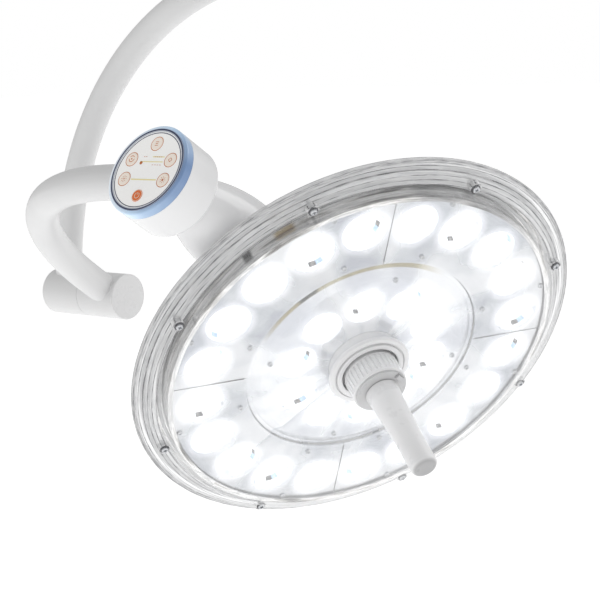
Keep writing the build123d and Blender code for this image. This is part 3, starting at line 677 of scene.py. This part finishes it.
def flat_ring(mesh, outer, inner, x, y, height, start=0.0, end=360.0, steps=40):
    """Thin printed ring or arc, as a solid a few hundredths of a millimetre thick."""
    closed = end - start >= 360
    count = steps if closed else steps + 1
    top = height + PRINT
    corners = []
    for k in range(count):
        angle = radians(start + (end - start) * k / steps)
        section = ((inner, height), (outer, height), (outer, top), (inner, top))
        spots = [(x + radius * cos(angle), y + radius * sin(angle), z) for radius, z in section]
        corners.append([mesh.verts.new(spot) for spot in spots])
    following = corners[1:] + corners[:1] if closed else corners[1:]
    for now, then in zip(corners, following):
        for k in range(4):
            mesh.faces.new((now[k], now[(k + 1) % 4], then[(k + 1) % 4], then[k]))
    if not closed:
        mesh.faces.new(corners[0])
        mesh.faces.new(corners[-1])


def flat_dot(mesh, radius, x, y, height, steps):
    """Thin printed dot, closed but for a pinhole in its middle."""
    flat_ring(mesh, radius, DOT_HOLE, x, y, height, steps=steps)


def flat_bar(mesh, length, width, x, y, height, angle=0.0):
    """Thin printed bar with its middle at x, y."""
    turn = Matrix.Translation((x, y, height + PRINT / 2)) @ Matrix.Rotation(radians(angle), 4, "Z")
    made = bmesh.ops.create_cube(mesh, size=1.0)
    stretch = Matrix.Diagonal((length, width, PRINT, 1))
    bmesh.ops.transform(mesh, matrix=turn @ stretch, verts=made["verts"])


def polar(radius, angle):
    """X and Y of a point at a radius and an angle in degrees."""
    return radius * cos(radians(angle)), radius * sin(radians(angle))


def make_panel_outline():
    """Dark line printed just inside the bezel."""
    mesh = bmesh.new()
    flat_ring(mesh, BEZEL_INNER - 0.9, BEZEL_INNER - 1.7, 0, 0, PANEL_TOP, steps=120)
    piece("panel_outline", mesh, POD, "yoke", "navy_plastic", "print_navy")


def make_key_fields():
    """Pale fields printed round the five touch keys."""
    mesh = bmesh.new()
    for angle in TOUCH_KEYS:
        flat_ring(mesh, KEY_FIELD_EDGE, KEY_RADIUS, *polar(KEY_PITCH, angle), PANEL_TOP)
    piece("key_fields", mesh, POD, "yoke", "key_peach", "key_peach")


def sun_symbol(mesh, key, middle):
    """Dot with eight rays; a larger middle stands for brighter."""
    x, y = polar(KEY_PITCH, key)
    flat_dot(mesh, middle, x, y, KEY_TOP, 16)
    for turn in range(0, 360, 45):
        aside, along = polar(2.5, turn)
        flat_bar(mesh, 1.3, 0.4, x + aside, y + along, KEY_TOP, turn)


def bars_symbol(mesh, key):
    """Three bars, for the light level."""
    x, y = polar(KEY_PITCH, key)
    for place, length in ((1.7, 3.6), (0.0, 2.8), (-1.7, 3.6)):
        flat_bar(mesh, length, 0.55, x, y + place, KEY_TOP)


def diamond_symbol(mesh, key):
    """Diamond of four bars, for the tone of the light."""
    x, y = polar(KEY_PITCH, key)
    for turn in range(45, 360, 90):
        aside, along = polar(1.4, turn)
        flat_bar(mesh, 2.9, 0.5, x + aside, y + along, KEY_TOP, turn + 90)


def field_symbol(mesh, key):
    """Open circle round a dot, for the light field."""
    x, y = polar(KEY_PITCH, key)
    flat_ring(mesh, 3.2, 2.6, x, y + 0.3, KEY_TOP, 180, 360, 16)
    flat_ring(mesh, 3.2, 2.6, x, y + 0.3, KEY_TOP, 35, 145, 10)
    flat_dot(mesh, 0.8, x, y + 0.2, KEY_TOP, 12)


def make_key_prints():
    """Printed outlines and plain symbols of the five touch keys."""
    mesh = bmesh.new()
    for angle in TOUCH_KEYS:
        flat_ring(mesh, KEY_OUTLINE_EDGE, KEY_FIELD_EDGE, *polar(KEY_PITCH, angle), PANEL_TOP)
    sun_symbol(mesh, BRIGHTER_KEY, 1.1)
    sun_symbol(mesh, DIMMER_KEY, 0.7)
    bars_symbol(mesh, LEVEL_KEY)
    diamond_symbol(mesh, TONE_KEY)
    field_symbol(mesh, FIELD_KEY)
    piece("key_prints", mesh, POD, "yoke", "key_orange", "print_orange")


def make_power_print():
    """Ring with a gap and a bar on the orange key."""
    mesh = bmesh.new()
    x, y = polar(KEY_PITCH, POWER_KEY)
    flat_ring(mesh, KEY_RADIUS - 0.25, KEY_RADIUS - 0.75, x, y, KEY_TOP)
    flat_ring(mesh, 2.9, 2.3, x, y, KEY_TOP, 120, 420, 24)
    flat_bar(mesh, 0.55, 2.6, x, y + 1.9, KEY_TOP)
    piece("power_print", mesh, POD, "yoke", "key_peach", "print_white")


def make_level_bars():
    """Pale yellow level bars between the keys."""
    mesh = bmesh.new()
    for bar in LEVEL_BARS:
        flat_bar(mesh, *bar, PANEL_TOP)
    piece("level_bars", mesh, POD, "yoke", "panel_film", "print_yellow")


def make_scale_marks():
    """Orange scale marks on and under the upper bars, with the dot at their left end."""
    mesh = bmesh.new()
    flat_dot(mesh, 1.7, -10.5, 6.4, PANEL_TOP, 20)
    for place in (-9, -6.5, 4, 6.5, 9, 11.5):
        flat_bar(mesh, 1.5, 0.45, place, 12.4, PANEL_TOP + PRINT)
    for place in (4, 7, 10, 13):
        flat_bar(mesh, 1.9, 0.4, place, 4.6, PANEL_TOP)
    piece("scale_marks", mesh, POD, "yoke", "key_orange", "print_orange")


# ---- camera, floor and light ------------------------------------------------------------
CAMERA_FROM_GIMBAL = Vector((1.03386, -1.28049, 0.25029))
CAMERA_AZIMUTH = radians(40.23)
CAMERA_ELEVATION = radians(8.05)
CAMERA_ROLL = radians(-1.75)
CAMERA_LENS = 102.1
FLOOR_DROP = 0.45
FLOOR_REACH = 40


def make_camera():
    """Camera in front of the lamp, looking slightly down; returns its unrolled axes."""
    back = Vector((
        sin(CAMERA_AZIMUTH) * cos(CAMERA_ELEVATION),
        -cos(CAMERA_AZIMUTH) * cos(CAMERA_ELEVATION),
        sin(CAMERA_ELEVATION),
    ))
    right = Vector((cos(CAMERA_AZIMUTH), sin(CAMERA_AZIMUTH), 0))
    up = back.cross(right)
    rolled_right = right * cos(CAMERA_ROLL) + up * sin(CAMERA_ROLL)
    rolled_up = up * cos(CAMERA_ROLL) - right * sin(CAMERA_ROLL)
    camera = bpy.data.objects.new("camera", bpy.data.cameras.new("camera"))
    bpy.context.scene.collection.objects.link(camera)
    camera.matrix_world = axes_matrix(rolled_right, rolled_up, back, GIMBAL + CAMERA_FROM_GIMBAL)
    camera.data.lens = CAMERA_LENS
    camera.data.clip_start = 0.05
    bpy.context.scene.camera = camera
    return right, up, back


def make_floor():
    """Plain pale floor, well below the hanging lamp."""
    mesh = bmesh.new()
    bmesh.ops.create_grid(mesh, x_segments=1, y_segments=1, size=FLOOR_REACH)
    data = bpy.data.meshes.new("floor")
    mesh.to_mesh(data)
    mesh.free()
    floor = bpy.data.objects.new("floor", data)
    floor.location.z = CAD_LOW.z - FLOOR_DROP
    bpy.context.scene.collection.objects.link(floor)
    made = Finish("floor", (0.9, 0.9, 0.9), 0.9, Emission_Strength=0.55)
    made.tint(made.noise(1.5, 2), (0.89, 0.89, 0.89), (0.91, 0.91, 0.91))
    made.shader.inputs["Emission Color"].default_value = (1, 1, 1, 1)
    data.materials.append(made.mat)


def make_light(name, place, size, power):
    """Soft square studio light aimed at the gimbal point."""
    lamp = bpy.data.lights.new(name, "AREA")
    lamp.energy = power
    lamp.size = size
    made = bpy.data.objects.new(name, lamp)
    bpy.context.scene.collection.objects.link(made)
    made.location = GIMBAL + place
    made.rotation_euler = (-place).to_track_quat("-Z", "Y").to_euler()


def make_world(seen, cast):
    """Even white surroundings: what the camera sees is brighter than the fill light it casts."""
    world = bpy.data.worlds.new("studio")
    bpy.context.scene.world = world
    world.use_nodes = True
    nodes = world.node_tree.nodes
    background = nodes["Background"]
    path = nodes.new("ShaderNodeLightPath")
    level = nodes.new("ShaderNodeMapRange")
    level.inputs["To Min"].default_value = cast
    level.inputs["To Max"].default_value = seen
    world.node_tree.links.new(path.outputs["Is Camera Ray"], level.inputs["Value"])
    world.node_tree.links.new(level.outputs["Result"], background.inputs["Strength"])
    background.inputs["Color"].default_value = (1, 1, 1, 1)


dress_cad_nodes()
make_cup_liners("outer_cup_facets", OUTER_CUPS)
make_cup_liners("inner_cup_facets", INNER_CUPS)
make_seam_strips()
make_rim_bead()
make_screw_shade_rings()
make_panel_outline()
make_key_fields()
make_key_prints()
make_power_print()
make_level_bars()
make_scale_marks()

RIGHT, UP, BACK = make_camera()
make_floor()
make_world(seen=1.0, cast=0.54)
make_light("key", RIGHT * -2.2 + UP * 0.9 + BACK * 0.1, size=1.5, power=2)
make_light("rim", RIGHT * 1.6 + UP * 1.6 - BACK * 0.3, size=1.5, power=14)
bpy.context.scene.view_settings.view_transform = "Standard"
